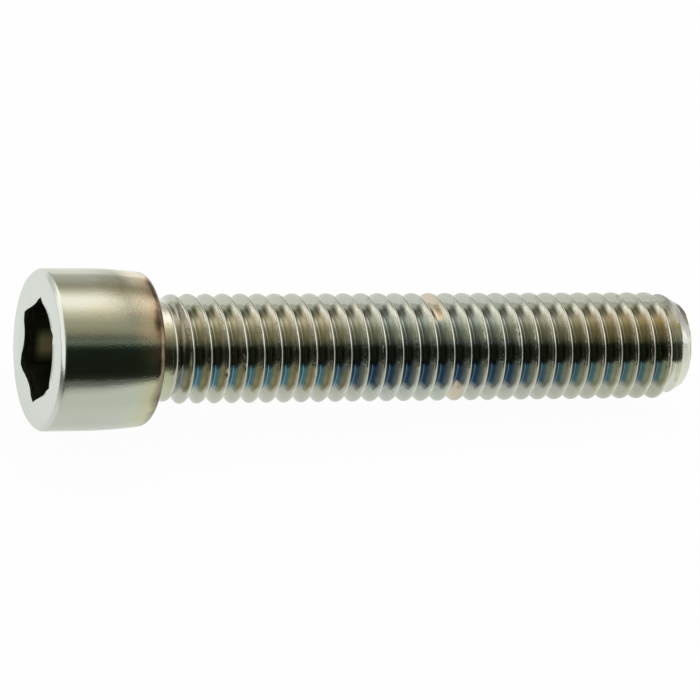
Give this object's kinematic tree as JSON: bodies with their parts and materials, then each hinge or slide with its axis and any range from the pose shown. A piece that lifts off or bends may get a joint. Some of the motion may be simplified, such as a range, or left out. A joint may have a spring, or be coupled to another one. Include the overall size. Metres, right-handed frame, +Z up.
{
  "type": "hex socket cap screw",
  "caption": "Socket head cap screw with a round bevelled head, a hexagon socket, a plain neck and a right-hand thread along its shank.",
  "frame": {"origin": "under the middle of the screw's length, on the surface that it lies on", "axes": "+X along the screw from its head to its tip, +Z up; the screw's own axis slopes down by 2.41 degrees towards the tip, because it rests on its head and on its last crests"},
  "size_m": [0.0596, 0.0138, 0.0139],
  "materials": {
    "plated_steel": "bright plating with faint yellow and blue passivation tints"
  },
  "bodies": {
    "root": {"cap_screw": "plated_steel"}
  },
  "joints": []
}
